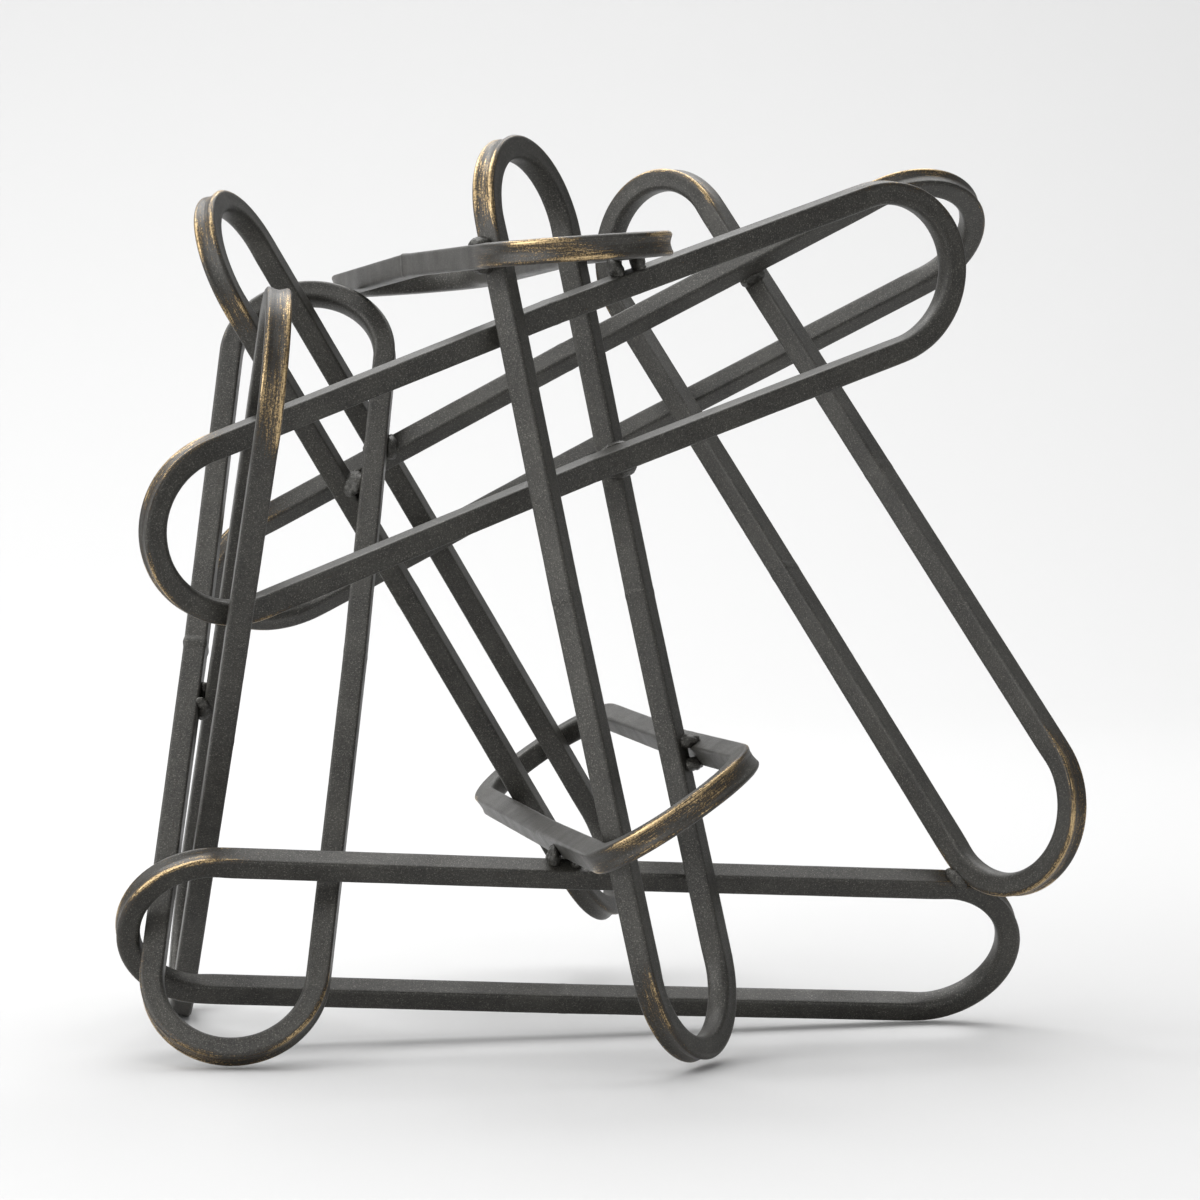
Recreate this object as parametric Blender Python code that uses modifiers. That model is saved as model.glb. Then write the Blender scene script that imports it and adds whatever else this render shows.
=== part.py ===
"""A rigid table-top sculpture: ten equal links, threaded through one another and welded where they touch.

Each link is a long loop with straight legs and round ends. It is two U-shaped halves, bent from square
steel tube and butt-welded to each other at the middle of both legs. Metres, +Z up. The sculpture stands
on the XY plane, centred on the origin, and is seen from the front along +Y.
"""

import math
from collections import namedtuple

import bmesh
import bpy
import numpy as np
from mathutils import Euler, Matrix, Vector

MM = 0.001

# Driving dimensions of the tube and of every link
TUBE = 10 * MM  # outside width of the square tube
WALL = 1 * MM
CORNER = 0.8 * MM  # flat across each rounded corner of the tube
LEG = 320 * MM  # from the centre of one bend to the centre of the other
BEND_RADIUS = 35.5 * MM  # to the middle of the tube
BEND_STEPS = 12

# Welds
CLEARANCE = 0.3 * MM  # between solids that are one weld on the real object
BUTT_THICKNESS = 1.4 * MM
BUTT_WIDTH = TUBE + 0.8 * MM  # a butt weld stands a little above the tube all round
BUTT_ROUNDING = 0.5 * MM
FILLET_RADII = (5.5 * MM, 2.6 * MM, 2.8 * MM)  # along the first tube, across it, and towards the second
FILLET_SEGMENTS = 10
FILLET_RINGS = 6
SAMPLE_STEP = 1 * MM  # spacing of the points used to find where two links come closest
MERGE = 0.001 * MM

# One link. Its own X runs from its foot to its head, its own Y across its two legs. lean lifts the head,
# heading turns it about +Z from +X, and roll turns the link about its own length. The two halves aren't
# quite straight with each other: bow is how far each is tipped out of the link's plane, splay within it.
Link = namedtuple("Link", "name centre_mm heading lean roll bow splay")

LINKS = (
    Link("threading_link", (-161, -76.5, 162), -75.25, 50.75, 80, 0, 1.25),
    Link("left_diagonal_link", (-85.5, 104, 200), -148.5, 56.75, 137, 0.25, -1),
    Link("left_upright_link", (-144.5, -4.5, 167.5), 83.75, 54.25, -175.75, -1, -0.5),
    Link("base_link", (-11.5, -46, 45.5), 12, -3.25, 122.75, 0.25, 0),
    Link("centre_upright_link", (0.5, -90, 197.5), 147.5, 76, -173.25, 0, 0.75),
    Link("front_slanting_link", (-13, -76.5, 284), 24, 19.25, 96, 2, -1.25),
    Link("rear_slanting_link", (-5, 97.5, 276), -3.5, 28, 141.25, -2.25, 2),
    Link("right_diagonal_link", (103, 33, 222.5), 133.25, 48, 94.5, 0.5, 0.25),
    Link("top_link", (-49.5, 16, 340), -76, 2.25, 3.75, 1, -0.25),
    Link("inner_link", (6.5, -9, 106), -80.5, 2.25, 33.5, -2, -0.75),
)

# Where links are welded: the tube that the bead runs along, then the tube that it runs on. A tube is a
# link, its head (+1) or foot (-1) half, and its plus leg (+1), minus leg (-1) or bend (0).
Joint = namedtuple("Joint", "first second")

JOINTS = (
    Joint(("threading_link", -1, 1), ("left_upright_link", -1, -1)),
    Joint(("left_upright_link", 1, 1), ("left_diagonal_link", 1, -1)),
    Joint(("left_upright_link", 1, 1), ("rear_slanting_link", -1, 1)),
    Joint(("rear_slanting_link", 1, 1), ("right_diagonal_link", 1, 1)),
    Joint(("right_diagonal_link", -1, 0), ("base_link", 1, 0)),
    Joint(("inner_link", 1, -1), ("base_link", -1, 1)),
    Joint(("inner_link", 1, 1), ("centre_upright_link", -1, 1)),
    Joint(("front_slanting_link", 1, -1), ("centre_upright_link", 1, 1)),
    Joint(("top_link", 1, -1), ("centre_upright_link", 1, -1)),
    Joint(("top_link", 1, 1), ("front_slanting_link", 1, 1)),
)


def clear_scene():
    for obj in list(bpy.data.objects):
        bpy.data.objects.remove(obj, do_unlink=True)


def new_collection(name, hidden=False):
    collection = bpy.data.collections.new(name)
    collection.hide_render = hidden
    bpy.context.scene.collection.children.link(collection)
    return collection


def new_material(name, colour, roughness, metallic):
    material = bpy.data.materials.new(name)
    material.use_nodes = True
    shader = material.node_tree.nodes["Principled BSDF"]
    shader.inputs["Base Color"].default_value = (*colour, 1)
    shader.inputs["Roughness"].default_value = roughness
    shader.inputs["Metallic"].default_value = metallic
    material.diffuse_color = (*colour, 1)
    return material


def add_object(name, mesh, collection, parent=None, material=None):
    obj = bpy.data.objects.new(name, mesh)
    collection.objects.link(obj)
    obj.parent = parent
    if material:
        mesh.materials.append(material)
    return obj


def add_cutter(name, mesh, collection, parent=None):
    cutter = add_object(name, mesh, collection, parent)
    cutter.hide_render = True
    cutter.display_type = "WIRE"
    return cutter


def evaluated_mesh(obj):
    return bpy.data.meshes.new_from_object(obj.evaluated_get(bpy.context.evaluated_depsgraph_get()))


# Centre lines


def leg_ends(overrun):
    """The straight legs of a head half, from beyond the link's middle to the bend: minus leg, then plus leg."""
    bend_start = LEG / 2
    return [
        [Vector((-overrun, side * BEND_RADIUS, 0)), Vector((bend_start, side * BEND_RADIUS, 0))]
        for side in (-1, 1)
    ]


def bend_points(steps):
    angles = [math.pi * (i / steps - 0.5) for i in range(steps + 1)]
    return [
        Vector((LEG / 2 + BEND_RADIUS * math.cos(t), BEND_RADIUS * math.sin(t), 0)) for t in angles
    ]


def half_transform(link, half):
    """From a head half lying in its own plane to the given half of this link, in the link's own axes."""
    tip = Matrix.Rotation(math.radians(half * link.bow), 4, "Y")
    turn = Matrix.Rotation(math.radians(half * link.splay), 4, "Z")
    flip = Matrix.Rotation(math.pi if half < 0 else 0, 4, "Z")
    return tip @ turn @ flip


def link_transform(link):
    turn = Euler(map(math.radians, (link.roll, -link.lean, link.heading)))
    return Matrix.Translation(Vector(link.centre_mm) * MM) @ turn.to_matrix().to_4x4()


def centre_line(link_name, half, part):
    """Closely spaced points along the middle of one leg or bend, in the space that the links are placed in."""
    link = next(item for item in LINKS if item.name == link_name)
    if part:
        # A foot half is a head half turned end for end, so its legs change sides.
        start, end = leg_ends(0)[(part * half + 1) // 2]
        count = round((end - start).length / SAMPLE_STEP)
        points = [start.lerp(end, i / count) for i in range(count + 1)]
    else:
        points = bend_points(round(math.pi * BEND_RADIUS / SAMPLE_STEP))
    place = link_transform(link) @ half_transform(link, half)
    return np.array([place @ point for point in points])


# Tubes


def square_profile(name, width, collection):
    """A closed outline of the tube's section, with its corners taken off."""
    half = width / 2
    inner = half - CORNER
    outline = []
    for quarter in range(4):
        turn = Matrix.Rotation(quarter * math.pi / 2, 3, "Z")
        outline += [turn @ Vector((half, -inner, 0)), turn @ Vector((half, inner, 0))]
    curve = bpy.data.curves.new(name, "CURVE")
    curve.dimensions = "2D"
    spline = curve.splines.new("POLY")
    spline.points.add(len(outline) - 1)
    for point, place in zip(spline.points, outline):
        point.co = (*place, 1)
    spline.use_cyclic_u = True
    profile = bpy.data.objects.new(name, curve)
    collection.objects.link(profile)
    profile.hide_render = True
    return profile


def swept_half(profile, overrun, capped, collection):
    """A mesh of the profile swept round a head half's centre line."""
    minus_leg, plus_leg = leg_ends(overrun)
    path = [minus_leg[0], *bend_points(BEND_STEPS), plus_leg[0]]
    curve = bpy.data.curves.new("half_link_path", "CURVE")
    curve.dimensions = "3D"
    curve.twist_mode = "Z_UP"
    curve.bevel_mode = "OBJECT"
    curve.bevel_object = profile
    curve.use_fill_caps = capped
    spline = curve.splines.new("POLY")
    spline.points.add(len(path) - 1)
    for point, place in zip(spline.points, path):
        point.co = (*place, 1)
    guide = bpy.data.objects.new("half_link_path", curve)
    collection.objects.link(guide)
    mesh = evaluated_mesh(guide)
    bpy.data.objects.remove(guide, do_unlink=True)
    return mesh


def face_outwards(bm):
    bmesh.ops.recalc_face_normals(bm, faces=bm.faces)
    if bm.calc_volume(signed=True) < 0:
        bmesh.ops.reverse_faces(bm, faces=bm.faces)


def tube_mesh(name, swept, link, half):
    """One half's outer skin, its legs sawn off square to the link just short of the link's middle."""
    bm = bmesh.new()
    bm.from_mesh(swept)
    bm.transform(half_transform(link, half))
    short_of_middle = half * (BUTT_THICKNESS / 2 + CLEARANCE)
    bmesh.ops.bisect_plane(
        bm,
        geom=bm.verts[:] + bm.edges[:] + bm.faces[:],
        plane_co=(short_of_middle, 0, 0),
        plane_no=(half, 0, 0),
        clear_inner=True,
    )
    face_outwards(bm)
    mesh = bpy.data.meshes.new(name)
    bm.to_mesh(mesh)
    bm.free()
    return mesh


def add_half_link(name, swept, link, half, frame, material, collection):
    half_link = add_object(name, tube_mesh(name, swept, link, half), collection, frame, material)
    wall = half_link.modifiers.new("wall", "SOLIDIFY")
    wall.thickness = WALL
    wall.offset = -1
    wall.use_even_offset = True


def block_mesh(name, thickness, width):
    bm = bmesh.new()
    bmesh.ops.create_cube(bm, size=1, matrix=Matrix.Diagonal((thickness, width, width, 1)))
    mesh = bpy.data.meshes.new(name)
    bm.to_mesh(mesh)
    bm.free()
    return mesh


def add_butt_weld(name, side, frame, material, collection):
    weld = add_object(name, block_mesh(name, BUTT_THICKNESS, BUTT_WIDTH), collection, frame, material)
    weld.location.y = side * BEND_RADIUS
    rounding = weld.modifiers.new("rounding", "BEVEL")
    rounding.width = BUTT_ROUNDING
    rounding.segments = 1


def add_link(link, swept, root, materials, collection):
    """Adds the link's halves and butt welds, and returns the empty that places them."""
    frame = bpy.data.objects.new(link.name + "_frame", None)
    collection.objects.link(frame)
    frame.parent = root
    frame.matrix_local = link_transform(link)
    for half, half_name in ((1, "head"), (-1, "foot")):
        name = f"{link.name}_{half_name}_half"
        add_half_link(name, swept, link, half, frame, materials["tube"], collection)
    for side, number in ((-1, 1), (1, 2)):
        add_butt_weld(f"{link.name}_butt_weld_{number}", side, frame, materials["butt"], collection)
    return frame


# Fillet welds where links touch


def closest_places(first, second):
    """The two points where two centre lines come closest, and the first one's direction there."""
    distances = np.linalg.norm(first[:, None] - second[None], axis=2)
    i, j = np.unravel_index(distances.argmin(), distances.shape)
    along = first[min(i + 1, len(first) - 1)] - first[max(i - 1, 0)]
    return Vector(first[i]), Vector(second[j]), Vector(along).normalized()


def add_clearance_solids(link, swollen, frame, collection):
    """Solids larger than a link's own by the clearance all round, which keep the fillet welds off them."""
    for half, half_name in ((1, "head"), (-1, "foot")):
        bm = bmesh.new()
        bm.from_mesh(swollen)
        bmesh.ops.remove_doubles(bm, verts=bm.verts, dist=MERGE)
        bm.transform(half_transform(link, half))
        face_outwards(bm)
        mesh = bpy.data.meshes.new(f"{link.name}_{half_name}_clearance")
        bm.to_mesh(mesh)
        bm.free()
        add_cutter(mesh.name, mesh, collection, frame)
    for side, number in ((-1, 1), (1, 2)):
        name = f"{link.name}_butt_clearance_{number}"
        mesh = block_mesh(name, BUTT_THICKNESS + 2 * CLEARANCE, BUTT_WIDTH + 2 * CLEARANCE)
        add_cutter(name, mesh, collection, frame).location.y = side * BEND_RADIUS


def distance_to(solid, point):
    """How far a point is from the surface of a solid."""
    local_point = solid.matrix_world.inverted() @ point
    nearest = solid.closest_point_on_mesh(local_point)[1]
    return (nearest - local_point).length


def largest_piece(mesh):
    """Removes every loose piece of the mesh except the largest."""
    bm = bmesh.new()
    bm.from_mesh(mesh)
    pieces = []
    unseen = set(bm.verts)
    while unseen:
        piece = set()
        edge_of_piece = [unseen.pop()]
        while edge_of_piece:
            vert = edge_of_piece.pop()
            piece.add(vert)
            near = {edge.other_vert(vert) for edge in vert.link_edges} & unseen
            unseen -= near
            edge_of_piece += near
        pieces.append(piece)
    keep = max(pieces, key=len)
    bmesh.ops.delete(bm, geom=[v for v in bm.verts if v not in keep], context="VERTS")
    bm.to_mesh(mesh)
    bm.free()


def add_fillet_weld(name, joint, side, root, material, collection, cutters, clearances):
    """A bead in the corner between one side of the first tube and the face of the second."""
    here, there, along = closest_places(centre_line(*joint.first), centre_line(*joint.second))
    gap = max((there - here).length - TUBE, 0)
    towards = (there - here).normalized()
    across = towards.cross(along).normalized() * side
    axes = Matrix((along, across, towards)).transposed().to_4x4()
    corner = (here + there) / 2 + across * TUBE / 2
    radii = Vector(FILLET_RADII) + Vector((0, 0, gap / 2))
    bm = bmesh.new()
    bmesh.ops.create_uvsphere(
        bm,
        u_segments=FILLET_SEGMENTS,
        v_segments=FILLET_RINGS,
        radius=1,
        matrix=Matrix.Translation(corner) @ axes @ Matrix.Diagonal((*radii, 1)),
    )
    face_outwards(bm)
    mesh = bpy.data.meshes.new(name)
    bm.to_mesh(mesh)
    bm.free()
    blank = add_cutter(name + "_blank", mesh, cutters, root)
    for solid in clearances.objects:
        if distance_to(solid, corner) < max(radii):
            cut = blank.modifiers.new("clear_of_" + solid.name, "BOOLEAN")
            cut.operation = "DIFFERENCE"
            cut.solver = "EXACT"
            cut.object = solid
    bead = evaluated_mesh(blank)
    bead.name = name
    largest_piece(bead)
    add_object(name, bead, collection, root, material)


def stand_on_floor(root, collection):
    """Moves the whole sculpture so that it rests on Z = 0, centred on the origin."""
    bpy.context.view_layer.update()
    graph = bpy.context.evaluated_depsgraph_get()
    corners = np.array(
        [
            obj.matrix_world @ vert.co
            for obj in collection.objects
            if obj.type == "MESH"
            for vert in obj.evaluated_get(graph).data.vertices
        ]
    )
    low = corners.min(axis=0)
    high = corners.max(axis=0)
    root.location = (-(low[0] + high[0]) / 2, -(low[1] + high[1]) / 2, -low[2])


def main():
    clear_scene()
    sculpture = new_collection("threaded_link_sculpture")
    cutters = new_collection("cutters", hidden=True)
    clearances = new_collection("clearances", hidden=True)
    materials = {
        "tube": new_material("bronze_black_powder_coat", (0.035, 0.031, 0.028), 0.62, 0.35),
        "butt": new_material("coated_butt_weld", (0.05, 0.042, 0.033), 0.55, 0.4),
        "fillet": new_material("coated_fillet_weld", (0.045, 0.039, 0.032), 0.58, 0.4),
    }
    root = bpy.data.objects.new("sculpture", None)
    sculpture.objects.link(root)

    overrun = TUBE
    tube_profile = square_profile("tube_section", TUBE, cutters)
    clear_profile = square_profile("clearance_section", TUBE + 2 * CLEARANCE, cutters)
    swept = swept_half(tube_profile, overrun, False, cutters)
    swollen = swept_half(clear_profile, overrun, True, cutters)
    for link in LINKS:
        frame = add_link(link, swept, root, materials, sculpture)
        add_clearance_solids(link, swollen, frame, clearances)
    bpy.context.view_layer.update()
    for joint in JOINTS:
        for number, side in ((1, 1), (2, -1)):
            first, second = (tube[0].removesuffix("_link") for tube in joint)
            name = f"weld_{first}_to_{second}_{number}"
            add_fillet_weld(name, joint, side, root, materials["fillet"], sculpture, cutters, clearances)

    stand_on_floor(root, sculpture)


main()
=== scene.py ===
"""The looks of the threaded-link sculpture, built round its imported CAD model.

Every half link is swept again over its CAD node, with the rounded corners, the hollowed outer face and the
raised lips that bending gives a square tube. Seams and welds are built over their own CAD nodes.
"""

import math
from collections import namedtuple

import bmesh
import bpy
import numpy as np
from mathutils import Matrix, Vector, noise


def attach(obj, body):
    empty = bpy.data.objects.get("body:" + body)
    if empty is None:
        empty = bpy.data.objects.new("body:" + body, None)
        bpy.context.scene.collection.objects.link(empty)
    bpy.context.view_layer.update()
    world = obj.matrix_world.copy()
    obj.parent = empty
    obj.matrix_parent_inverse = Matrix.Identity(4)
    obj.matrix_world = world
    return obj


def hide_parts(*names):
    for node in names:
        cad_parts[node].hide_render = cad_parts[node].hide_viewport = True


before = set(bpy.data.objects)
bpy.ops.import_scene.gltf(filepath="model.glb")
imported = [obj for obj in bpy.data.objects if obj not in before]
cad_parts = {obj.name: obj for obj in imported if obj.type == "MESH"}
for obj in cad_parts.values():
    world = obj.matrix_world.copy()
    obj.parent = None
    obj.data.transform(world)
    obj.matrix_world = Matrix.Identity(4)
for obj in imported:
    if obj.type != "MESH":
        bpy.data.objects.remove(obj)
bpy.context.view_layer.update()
MM = 0.001

# Section of the tube
CORNER_RADIUS = 1.2 * MM
CORNER_STEPS = 5
OUTER_STEPS = 12  # across the outer face, which the bend hollows
SIDE_STEPS = 7
WALL = 1 * MM

# What bending does to the section
BENT_CORNER_RADIUS = 2.1 * MM
HOLLOW_DEPTH = 1.0 * MM
FLUTE_DEPTH = 0.2 * MM  # how much the hollow's depth varies
FLUTES_ACROSS = 1.1  # per mm, for the noise that varies it
FLUTES_ALONG = 0.035
LIP_FLARE = 0.3 * MM  # how far the outer corners spread sideways
FACE_START = 0.7  # a face begins this far out, as a share of half the tube's width
INNER_BULGE = 0.45 * MM
BEND_RUN_IN = 7 * MM  # the deformation starts this far before the bend
BEND_RUN_FULL = 16 * MM  # and is complete this far past that
WEAR_RUN_IN = 24 * MM  # the rubbed gold starts this far before the bend
WEAR_RUN_FULL = 30 * MM
WAVINESS = 0.05 * MM
WAVE_LENGTH = 14 * MM

# Spacing of the sections along a half link
BEND_STEPS = 56
FINE_STEP = 2.5 * MM
FINE_LENGTH = 25 * MM
COARSE_STEP = 8 * MM

SHARP_ANGLE = math.radians(50)

# Bends that hands have rubbed less than the others
RUBBED = {
    "left_upright_link_head_half": 0.25,
    "left_diagonal_link_foot_half": 0.5,
    "base_link_head_half": 0.6,
    "centre_upright_link_foot_half": 0.75,
    "front_slanting_link_head_half": 0.6,
    "threading_link_foot_half": 0.3,
}

Half = namedtuple("Half", "node seed centre along across normal radius tube leg_lengths")


# Reading the places of the tubes from the CAD nodes


def node_points(node):
    return np.array([vert.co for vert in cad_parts[node].data.vertices])


def shared_direction(normals, areas):
    """The direction, either way, that the largest area of the faces looks in."""
    alike = np.abs(normals @ normals.T) > 0.9995
    best = (alike @ areas).argmax()
    faces = alike[best]
    signs = np.sign(normals[faces] @ normals[best])
    direction = (normals[faces] * (areas[faces] * signs)[:, None]).sum(axis=0)
    return direction / np.linalg.norm(direction)


def read_half(node, middle, seed):
    """The axes and sizes of a half link, from its largest flat faces and then its legs' other faces."""
    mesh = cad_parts[node].data
    mesh.calc_loop_triangles()
    normals = np.array([triangle.normal for triangle in mesh.loop_triangles])
    areas = np.array([triangle.area for triangle in mesh.loop_triangles])
    normal = shared_direction(normals, areas)
    level = np.abs(normals @ normal) < 0.01
    across = shared_direction(normals[level], areas[level])
    along = np.cross(across, normal)
    points = node_points(node)
    if (points.mean(axis=0) - middle) @ along < 0:
        along = -along
    across = np.cross(normal, along)
    axes = np.array([along, across, normal])
    local = points @ axes.T
    low = local.min(axis=0)
    high = local.max(axis=0)
    tube = high[2] - low[2]
    radius = (high[1] - low[1] - tube) / 2
    centre = np.array([high[0] - radius - tube / 2, (low[1] + high[1]) / 2, (low[2] + high[2]) / 2])
    leg_lengths = []
    for side in (-1, 1):
        leg = local[(local[:, 1] - centre[1]) * side > 0, 0]
        end = leg[leg < leg.min() + MM / 2].mean()
        leg_lengths.append(centre[0] - end)
    return Half(node, seed, centre @ axes, along, across, normal, radius, tube, leg_lengths)


# The tube's section and how it changes


def smooth_step(value):
    value = min(max(value, 0), 1)
    return value * value * (3 - 2 * value)


def square_section(width, corner, face_steps):
    """Points round a rounded square, as (outwards, sideways), from the outer face's low edge."""
    flat = width / 2 - corner
    points = []
    for quarter, steps in enumerate(face_steps):
        turn = quarter * math.pi / 2
        cosine = math.cos(turn)
        sine = math.sin(turn)
        edge = [(width / 2, -flat + 2 * flat * i / steps) for i in range(steps + 1)]
        for i in range(1, CORNER_STEPS):
            angle = i / CORNER_STEPS * math.pi / 2
            edge.append((flat + corner * math.cos(angle), flat + corner * math.sin(angle)))
        points += [(x * cosine - y * sine, x * sine + y * cosine) for x, y in edge]
    return points


def section_of(half, bend, distance):
    """The section's points: a rounded square on a leg (bend 0), hollowed on its outer face in a bend (1)."""
    steps = (OUTER_STEPS, SIDE_STEPS, SIDE_STEPS, SIDE_STEPS)
    straight = square_section(half.tube, CORNER_RADIUS, steps)
    bent = square_section(half.tube, BENT_CORNER_RADIUS, steps)
    reach = half.tube / 2
    flat = reach - BENT_CORNER_RADIUS * 0.6
    section = []
    for (x, y), (bent_x, bent_y) in zip(straight, bent):
        side = min(abs(bent_y) / flat, 1)
        if bent_x > reach * FACE_START:
            place = (bent_y / MM * FLUTES_ACROSS, distance / MM * FLUTES_ALONG, half.seed)
            flute = noise.noise(Vector(place))
            bent_x -= (1 - side**2) ** 1.5 * (HOLLOW_DEPTH + FLUTE_DEPTH * flute)
        elif bent_x < -reach * FACE_START:
            bent_x -= INNER_BULGE * (1 - side**2)
        spread = smooth_step((bent_x + reach * 0.2) / (reach * 1.2))
        bent_y += math.copysign(LIP_FLARE * spread * side, bent_y)
        section.append((x + (bent_x - x) * bend, y + (bent_y - y) * bend))
    return section


# Stations along a half link


def leg_distances(length):
    """Distances from the bend back along a leg, close together near the bend."""
    fine = round(FINE_LENGTH / FINE_STEP)
    coarse = round((length - FINE_LENGTH) / COARSE_STEP)
    near = [FINE_STEP * i for i in range(1, fine + 1)]
    far = [FINE_LENGTH + (length - FINE_LENGTH) * i / coarse for i in range(1, coarse + 1)]
    return near + far


def stations(half, bend_steps, leg_steps):
    """(distance from the top of the bend, place, outward direction, bend, rubbing) from end to end."""
    quarter = half.radius * math.pi / 2

    def amounts(before_bend):
        bend_amount = smooth_step((BEND_RUN_IN - before_bend) / BEND_RUN_FULL)
        return bend_amount, smooth_step((WEAR_RUN_IN - before_bend) / WEAR_RUN_FULL)

    found = []
    for side, length in zip((-1, 1), half.leg_lengths):
        leg = []
        for back in leg_steps(length):
            place = half.centre + half.across * side * half.radius - half.along * back
            leg.append((side * (quarter + back), place, half.across * side, *amounts(back)))
        found.append(leg[::-1] if side < 0 else leg)
    bend = []
    for i in range(bend_steps + 1):
        angle = math.pi * (i / bend_steps - 0.5)
        outward = half.along * math.cos(angle) + half.across * math.sin(angle)
        distance = half.radius * angle
        place = half.centre + outward * half.radius
        bend.append((distance, place, outward, *amounts(abs(distance) - quarter)))
    return found[0] + bend + found[1]


# Meshes


def skin(bm, rows, closed_rows=False):
    """Faces between neighbouring rings of points."""
    rings = [[bm.verts.new(point) for point in row] for row in rows]
    pairs = list(zip(rings, rings[1:]))
    if closed_rows:
        pairs.append((rings[-1], rings[0]))
    for ring, following in pairs:
        for i in range(len(ring)):
            j = (i + 1) % len(ring)
            bm.faces.new((ring[i], ring[j], following[j], following[i]))
    return rings


def loop_edges(bm, ring):
    return [bm.edges.get((ring[i], ring[(i + 1) % len(ring)])) for i in range(len(ring))]


def face_outwards(bm):
    bmesh.ops.recalc_face_normals(bm, faces=bm.faces)
    if bm.calc_volume(signed=True) < 0:
        bmesh.ops.reverse_faces(bm, faces=bm.faces)


def new_piece(name, bm, material, slot, *nodes):
    face_outwards(bm)
    mesh = bpy.data.meshes.new(name)
    bm.to_mesh(mesh)
    bm.free()
    mesh.materials.append(material)
    mesh.shade_smooth()
    mesh.set_sharp_from_angle(angle=SHARP_ANGLE)
    piece = bpy.data.objects.new(name, mesh)
    bpy.context.scene.collection.objects.link(piece)
    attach(piece, "root")
    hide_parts(*nodes)
    return piece


LIP_WEAR_REACH = 2.0 * MM
HOLLOW_WEAR = 0.62  # beside the lips' 1
WEAR_PATCH = 26  # mm, along the tube
MEAN_WEAR = 0.74


def wear_at(half, outwards, sideways, rubbing, distance):
    """How much gold shows through at a point, from 0 to 1: most along the lips of a bend."""
    reach = half.tube / 2
    from_lip = math.hypot(outwards - reach, abs(sideways) - reach * 0.8)
    lip = math.exp(-((from_lip / LIP_WEAR_REACH) ** 2))
    hollow = HOLLOW_WEAR * smooth_step((outwards - reach * 0.5) / (reach * 0.25))
    patch = noise.noise(Vector((distance / MM / WEAR_PATCH, half.seed * 1.7, sideways / MM * 0.12)))
    amount = RUBBED.get(half.node, 1)
    return amount * rubbing * max(lip, hollow) * min(max(MEAN_WEAR + patch, 0), 1)


def ring_points(section, place, outward, normal):
    return [Vector(place + outward * y + normal * z) for y, z in section]


def make_half(half, material):
    """A hollow, bent half link, with attributes that tell its material where it has been rubbed."""
    perimeter = 4 * half.tube
    rows = []
    wear = []
    flow = []
    for distance, place, outward, bend, rubbing in stations(half, BEND_STEPS, leg_distances):
        section = section_of(half, bend, distance)
        row = ring_points(section, place, outward, half.normal)
        for i, (point, (y, z)) in enumerate(zip(row, section)):
            wave = noise.noise(point / WAVE_LENGTH + Vector((half.seed, 0, 0)))
            direction = Vector(outward * y + half.normal * z).normalized()
            row[i] = point + direction * WAVINESS * wave
            wear.append(wear_at(half, y, z, rubbing, distance))
            flow.append((distance, perimeter * i / len(section), half.seed))
        rows.append(row)
    bm = bmesh.new()
    outer = skin(bm, rows)
    outer_count = len(bm.verts)

    hollow = square_section(half.tube - 2 * WALL, WALL / 2, (2, 1, 1, 1))
    inner_rows = []
    for _, place, outward, bend, _ in stations(half, BEND_STEPS // 2, lambda length: [length]):
        squeezed = [(y - (bend * HOLLOW_DEPTH if y > 3 * MM else 0), z) for y, z in hollow]
        inner_rows.append(ring_points(squeezed, place, outward, half.normal))
    inner = skin(bm, inner_rows)
    for end in (0, -1):
        bmesh.ops.bridge_loops(bm, edges=loop_edges(bm, outer[end]) + loop_edges(bm, inner[end]))
    inner_count = len(bm.verts) - outer_count
    piece = new_piece(half.node + "_tube", bm, material, "powder_coated_tube", half.node)
    wear_layer = piece.data.attributes.new("wear", "FLOAT", "POINT")
    wear_layer.data.foreach_set("value", wear + [0] * inner_count)
    flow_layer = piece.data.attributes.new("flow", "FLOAT_VECTOR", "POINT")
    flow_layer.data.foreach_set("vector", [x for row in flow + [(0, 0, 0)] * inner_count for x in row])


# Butt welds: (distance from the seam, height above the tube) round the bead's own section, in mm
SEAM_OUTLINE = (
    (-0.9, -1.0), (-0.9, -0.15), (-3.0, -0.05), (-2.0, 0.03), (-1.0, 0.09), (0, 0.12),
    (1.0, 0.09), (2.0, 0.03), (3.0, -0.05), (0.9, -0.15), (0.9, -1.0),
)
SEAM_RIPPLE = 3 * MM
SEAM_UNEVENNESS = 0.7  # of the bead's height
# How many times as high these seams stand as the others, which are ground almost flush
PROUD_SEAMS = {"left_upright_link_butt_weld_1": 4.0, "top_link_butt_weld_1": 2.0}


def aligned(direction, reference):
    return direction if direction @ reference > 0 else -direction


def make_butt_weld(node, head, foot, side, material):
    """A low, slightly uneven bead that runs over the joint from one half to the other."""
    seam = node_points(node).mean(axis=0)
    outward = head.across * side
    rows = []
    for shift, height in SEAM_OUTLINE:
        half = head if shift > 0 else foot
        if height > 0:
            height *= PROUD_SEAMS.get(node, 1)
        across = aligned(half.across, outward)
        normal = aligned(half.normal, head.normal)
        width = head.tube + 2 * height * MM
        section = square_section(width, CORNER_RADIUS + height * MM, (6, 6, 6, 6))
        place = seam + half.along * abs(shift) * MM
        row = ring_points(section, place, across, normal)
        if height > 0:
            for i, (y, z) in enumerate(section):
                uneven = noise.noise(row[i] / SEAM_RIPPLE + Vector((head.seed + side, 0, 0)))
                outwards = Vector(across * y + normal * z).normalized()
                row[i] += outwards * uneven * height * SEAM_UNEVENNESS * MM
        rows.append(row)
    bm = bmesh.new()
    skin(bm, rows, closed_rows=True)
    new_piece(node + "_bead", bm, material, "butt_weld", node)


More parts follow.
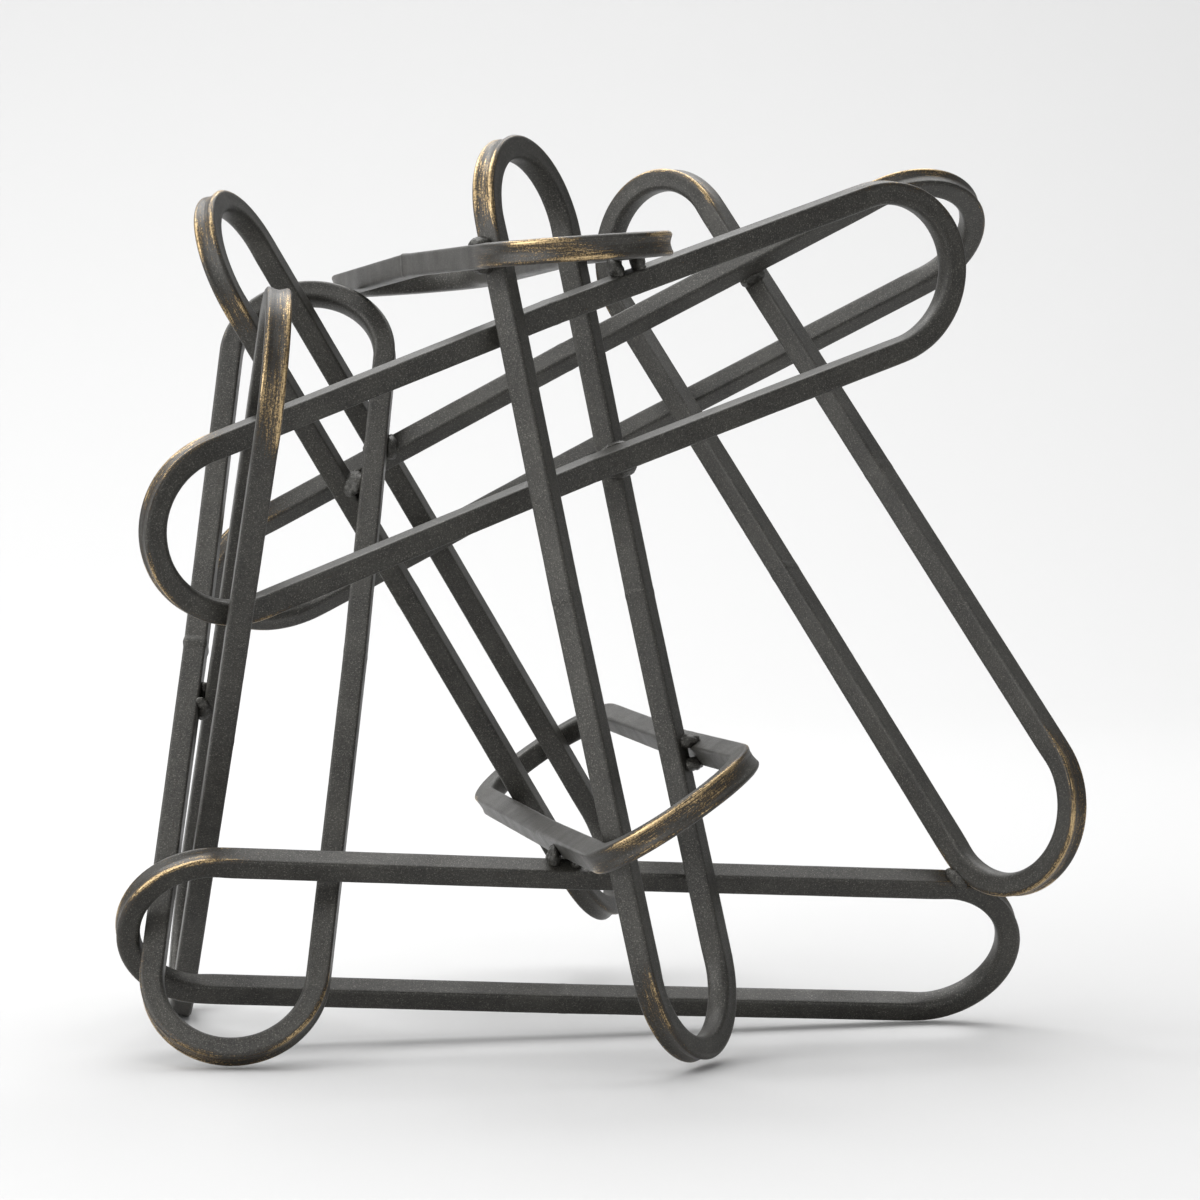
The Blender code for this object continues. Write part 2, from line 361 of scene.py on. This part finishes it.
FILLET_GROWTH = 1.25  # the CAD solids stop short of the tubes, and the metal runs into them
FILLET_VOXEL = 0.45 * MM
LUMP_SIZE = 3.2 * MM
LUMP_HEIGHT = 0.7  # mm
RIPPLE_SIZE = 1.1 * MM
RIPPLE_HEIGHT = 0.2  # mm


def make_fillet_weld(node, seed, material):
    """A lumpy bead that fills the corner between two tubes."""
    bm = bmesh.new()
    for point in node_points(node):
        bm.verts.new(point)
    bmesh.ops.remove_doubles(bm, verts=bm.verts, dist=0.01 * MM)
    hull = bmesh.ops.convex_hull(bm, input=bm.verts[:])
    left_over = hull["geom_interior"] + hull["geom_unused"]
    spare = {item for item in left_over if isinstance(item, bmesh.types.BMVert)}
    bmesh.ops.delete(bm, geom=list(spare), context="VERTS")
    middle = sum((vert.co for vert in bm.verts), Vector()) / len(bm.verts)
    for vert in bm.verts:
        vert.co = middle + (vert.co - middle) * FILLET_GROWTH
    piece = new_piece(node + "_bead", bm, material, "fillet_weld", node)
    for kind, settings in (
        ("REMESH", {"mode": "VOXEL", "voxel_size": FILLET_VOXEL}),
        ("SMOOTH", {"factor": 0.7, "iterations": 4}),
    ):
        modifier = piece.modifiers.new(kind.lower(), kind)
        for setting, value in settings.items():
            setattr(modifier, setting, value)
    graph = bpy.context.evaluated_depsgraph_get()
    mesh = bpy.data.meshes.new_from_object(piece.evaluated_get(graph))
    piece.modifiers.clear()
    piece.data = mesh
    mesh.shade_smooth()
    for vert in mesh.vertices:
        lump = noise.noise(vert.co / LUMP_SIZE + Vector((seed, 0, 0)))
        ripple = noise.noise(vert.co / RIPPLE_SIZE + Vector((0, seed, 0)))
        vert.co += vert.normal * (LUMP_HEIGHT * lump + RIPPLE_HEIGHT * ripple) * MM


# Materials


class Shader:
    """A material whose nodes are added with their inputs in one call."""

    def __init__(self, name):
        self.material = bpy.data.materials.new(name)
        self.material.use_nodes = True
        self.tree = self.material.node_tree
        self.surface = self.tree.nodes["Principled BSDF"]

    def node(self, kind, inputs=None, **settings):
        made = self.tree.nodes.new(kind)
        for name, value in settings.items():
            setattr(made, name, value)
        for name, value in (inputs or {}).items():
            self.set(made.inputs[name], value)
        return made

    def set(self, socket, value):
        if isinstance(value, bpy.types.NodeSocket):
            self.tree.links.new(value, socket)
        else:
            socket.default_value = value

    def noise(self, coordinates, scale, detail=3.0, roughness=0.55):
        inputs = {"Vector": coordinates, "Scale": scale, "Detail": detail, "Roughness": roughness}
        return self.node("ShaderNodeTexNoise", inputs).outputs["Fac"]

    def maths(self, operation, first, second):
        return self.node("ShaderNodeMath", {0: first, 1: second}, operation=operation).outputs[0]

    def blend(self, first, first_share, second, second_share):
        """The sum of two values, each taken with its own share."""
        first_part = self.maths("MULTIPLY", first, first_share)
        return self.maths("ADD", first_part, self.maths("MULTIPLY", second, second_share))

    def remap(self, value, low, high, new_low=0.0, new_high=1.0, clamp=True):
        inputs = {"Value": value, "From Min": low, "From Max": high, "To Min": new_low, "To Max": new_high}
        return self.node("ShaderNodeMapRange", inputs, clamp=clamp).outputs["Result"]

    def mix(self, factor, first, second):
        made = self.node("ShaderNodeMix", data_type="RGBA")
        for socket, value in zip((made.inputs[0], made.inputs[6], made.inputs[7]), (factor, first, second)):
            self.set(socket, value)
        return made.outputs[2]


# Noise scales, per metre
CLOUD_SCALE = 45.0
MOTTLE_SCALE = 900.0
GRAIN_SCALE = 1900.0
FINE_BUMP_SCALE = 2400.0
PEEL_SCALE = 520.0
SHEEN_PATCH_SCALE = 60.0
WELD_PATCH_SCALE = 300.0
RAGGED_SCALE = 1300.0
STREAK_SCALES = (95.0, 1500.0, 3.0)  # along the tube, round it, and from one half link to the next
BUMP_HEIGHT = 0.06 * MM

COAT_DARK = (0.013, 0.0125, 0.011, 1)
COAT_LIGHT = (0.052, 0.05, 0.043, 1)
COAT_SPECK = (0.2, 0.19, 0.165, 1)
GOLD_DEEP = (0.1, 0.066, 0.032, 1)
GOLD_BRIGHT = (0.62, 0.46, 0.25, 1)
BURNISHED = (0.02, 0.016, 0.012, 1)


def coat_colour(shader, place):
    """The bronze-black powder coat: cloudy at the scale of centimetres, with fine paler grains."""
    cloud = shader.remap(shader.noise(place, CLOUD_SCALE, 4.0), 0.35, 0.7)
    mottle = shader.remap(shader.noise(place, MOTTLE_SCALE, 2.0), 0.3, 0.72)
    tone = shader.blend(cloud, 0.45, mottle, 0.55)
    plain = shader.mix(tone, COAT_DARK, COAT_LIGHT)
    grain = shader.remap(shader.noise(place, GRAIN_SCALE, 1.0), 0.58, 0.74, 0.0, 0.6)
    return shader.mix(grain, plain, COAT_SPECK)


def coat_bump(shader, place, grain_strength):
    fine = shader.noise(place, FINE_BUMP_SCALE, 2.0, 0.6)
    peel = shader.noise(place, PEEL_SCALE, 2.0, 0.5)
    height = shader.maths("ADD", fine, shader.maths("MULTIPLY", peel, 0.9))
    inputs = {"Strength": grain_strength, "Distance": BUMP_HEIGHT, "Height": height}
    return shader.node("ShaderNodeBump", inputs).outputs["Normal"]


def tube_material():
    """Powder coat rubbed through to gold in streaks that follow the tube round its bends."""
    shader = Shader("rubbed_bronze_black_powder_coat")
    place = shader.node("ShaderNodeTexCoord").outputs["Object"]
    wear = shader.node("ShaderNodeAttribute", attribute_name="wear").outputs["Fac"]
    flow = shader.node("ShaderNodeAttribute", attribute_name="flow").outputs["Vector"]
    inputs = {"Vector": flow, "Scale": STREAK_SCALES}
    stretch = shader.node("ShaderNodeMapping", inputs, vector_type="POINT")
    streaks = shader.noise(stretch.outputs["Vector"], 1.0, 4.0, 0.65)
    ragged = shader.noise(place, RAGGED_SCALE, 4.0, 0.8)
    pattern = shader.blend(streaks, 0.5, ragged, 0.5)
    reach = shader.maths("ADD", wear, shader.remap(pattern, 0.35, 0.65, -0.78, 0.42, clamp=False))
    gold = shader.remap(reach, 0.34, 0.6, 0.0, 0.92)
    burnished = shader.remap(reach, -0.1, 0.3, 0.0, 0.75)
    gold_tone = shader.remap(reach, 0.45, 0.95)
    gold_colour = shader.mix(gold_tone, GOLD_DEEP, GOLD_BRIGHT)
    coat = shader.mix(burnished, coat_colour(shader, place), BURNISHED)
    shader.set(shader.surface.inputs["Base Color"], shader.mix(gold, coat, gold_colour))
    shader.set(shader.surface.inputs["Metallic"], shader.remap(gold, 0.0, 1.0, 0.25, 1.0))
    coat_rough = shader.remap(shader.noise(place, SHEEN_PATCH_SCALE, 3.0), 0.3, 0.7, 0.4, 0.52)
    bend_rough = shader.node("ShaderNodeMix", {0: burnished, 2: coat_rough, 3: 0.36}).outputs[0]
    gold_rough = shader.remap(streaks, 0.3, 0.7, 0.44, 0.28)
    rough = shader.node("ShaderNodeMix", {0: gold, 2: bend_rough, 3: gold_rough}).outputs[0]
    shader.set(shader.surface.inputs["Roughness"], rough)
    grain_strength = shader.remap(burnished, 0.0, 1.0, 0.85, 0.25)
    shader.set(shader.surface.inputs["Normal"], coat_bump(shader, place, grain_strength))
    return shader.material


def weld_material():
    """The same coat over a weld, a little smoother, in patches."""
    shader = Shader("coated_weld")
    place = shader.node("ShaderNodeTexCoord").outputs["Object"]
    shader.set(shader.surface.inputs["Base Color"], coat_colour(shader, place))
    shader.set(shader.surface.inputs["Metallic"], 0.3)
    rough = shader.remap(shader.noise(place, WELD_PATCH_SCALE), 0.3, 0.7, 0.38, 0.5)
    shader.set(shader.surface.inputs["Roughness"], rough)
    shader.set(shader.surface.inputs["Normal"], coat_bump(shader, place, 0.4))
    return shader.material


def plain_material(name, colour, roughness):
    shader = Shader(name)
    shader.set(shader.surface.inputs["Base Color"], colour)
    shader.set(shader.surface.inputs["Roughness"], roughness)
    shader.set(shader.surface.inputs["Specular IOR Level"], 0.1)
    return shader.material


# Studio

CAMERA_DISTANCE = 2.045
CAMERA_HEIGHT = 0.3328
CAMERA_PITCH = 4.0  # degrees below level
FOCAL_LENGTH = 138.8
SENSOR = 36.0
FLOOR_FRONT = -4.0
FLOOR_BACK = 2.6
FLOOR_HALF_WIDTH = 4.0
SWEEP_RADIUS = 1.2
WALL_HEIGHT = 4.0
SWEEP_STEPS = 16


def make_backdrop():
    """A pale floor that curves up into a wall."""
    profile = [(FLOOR_FRONT, 0.0), (FLOOR_BACK - SWEEP_RADIUS, 0.0)]
    for i in range(1, SWEEP_STEPS + 1):
        angle = math.pi / 2 * i / SWEEP_STEPS
        back = FLOOR_BACK - SWEEP_RADIUS + SWEEP_RADIUS * math.sin(angle)
        profile.append((back, SWEEP_RADIUS * (1 - math.cos(angle))))
    profile.append((FLOOR_BACK, WALL_HEIGHT))
    bm = bmesh.new()
    edges = [[bm.verts.new((x, y, z)) for y, z in profile] for x in (-FLOOR_HALF_WIDTH, FLOOR_HALF_WIDTH)]
    for i in range(len(profile) - 1):
        bm.faces.new((edges[0][i], edges[1][i], edges[1][i + 1], edges[0][i + 1]))
    mesh = bpy.data.meshes.new("backdrop")
    bm.to_mesh(mesh)
    bm.free()
    mesh.shade_smooth()
    mesh.materials.append(plain_material("pale_paper", (0.56, 0.56, 0.56, 1), 0.9))
    backdrop = bpy.data.objects.new("backdrop", mesh)
    bpy.context.scene.collection.objects.link(backdrop)


def add_light(name, place, target, size, power, spread=180):
    light = bpy.data.lights.new(name, "AREA")
    light.shape = "RECTANGLE"
    light.size = size[0]
    light.size_y = size[1]
    light.energy = power
    light.spread = math.radians(spread)
    lamp = bpy.data.objects.new(name, light)
    lamp.location = place
    lamp.rotation_euler = (Vector(target) - Vector(place)).to_track_quat("-Z", "Y").to_euler()
    bpy.context.scene.collection.objects.link(lamp)


def make_studio():
    scene = bpy.context.scene
    scene.view_settings.view_transform = "Standard"
    world = bpy.data.worlds.new("studio")
    world.use_nodes = True
    world.node_tree.nodes["Background"].inputs["Color"].default_value = (1, 1, 1, 1)
    world.node_tree.nodes["Background"].inputs["Strength"].default_value = 0.34
    scene.world = world
    middle = (0, 0, 0.2)
    add_light("key", (-2.2, -1.1, 1.1), middle, (3.0, 3.0), 82)
    add_light("overhead", (-0.3, 1.0, 2.1), middle, (3.0, 2.0), 75)
    add_light("front", (0.9, -2.6, 0.5), middle, (1.6, 1.0), 10)
    add_light("floor", (0.3, -1.1, 1.8), (0.3, -0.8, 0), (2.4, 0.8), 3.5, 80)
    add_light("backdrop", (-1.3, 1.2, 1.9), (0.0, 2.6, 0.5), (2.0, 1.2), 14)


def make_camera():
    data = bpy.data.cameras.new("camera")
    data.sensor_width = SENSOR
    data.lens = FOCAL_LENGTH
    camera = bpy.data.objects.new("camera", data)
    camera.location = (-0.00075, -CAMERA_DISTANCE, CAMERA_HEIGHT)
    camera.rotation_euler = (math.radians(90 - CAMERA_PITCH), 0, 0)
    bpy.context.scene.collection.objects.link(camera)
    bpy.context.scene.camera = camera


def main():
    make_camera()
    make_studio()
    make_backdrop()
    tube = tube_material()
    weld = weld_material()
    nodes = sorted(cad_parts)
    links = [node[: -len("_head_half")] for node in nodes if node.endswith("_head_half")]
    for number, link in enumerate(links):
        middle = sum(node_points(f"{link}_butt_weld_{i}").mean(axis=0) for i in (1, 2)) / 2
        halves = []
        for offset, end in enumerate(("head", "foot")):
            half = read_half(f"{link}_{end}_half", middle, 10.0 * number + 4.0 * offset)
            make_half(half, tube)
            halves.append(half)
        for i in (1, 2):
            node = f"{link}_butt_weld_{i}"
            side = math.copysign(1, (node_points(node).mean(axis=0) - middle) @ halves[0].across)
            make_butt_weld(node, *halves, side, weld)
    for number, node in enumerate(node for node in nodes if node.startswith("weld_")):
        make_fillet_weld(node, 3.0 * number, weld)


main()
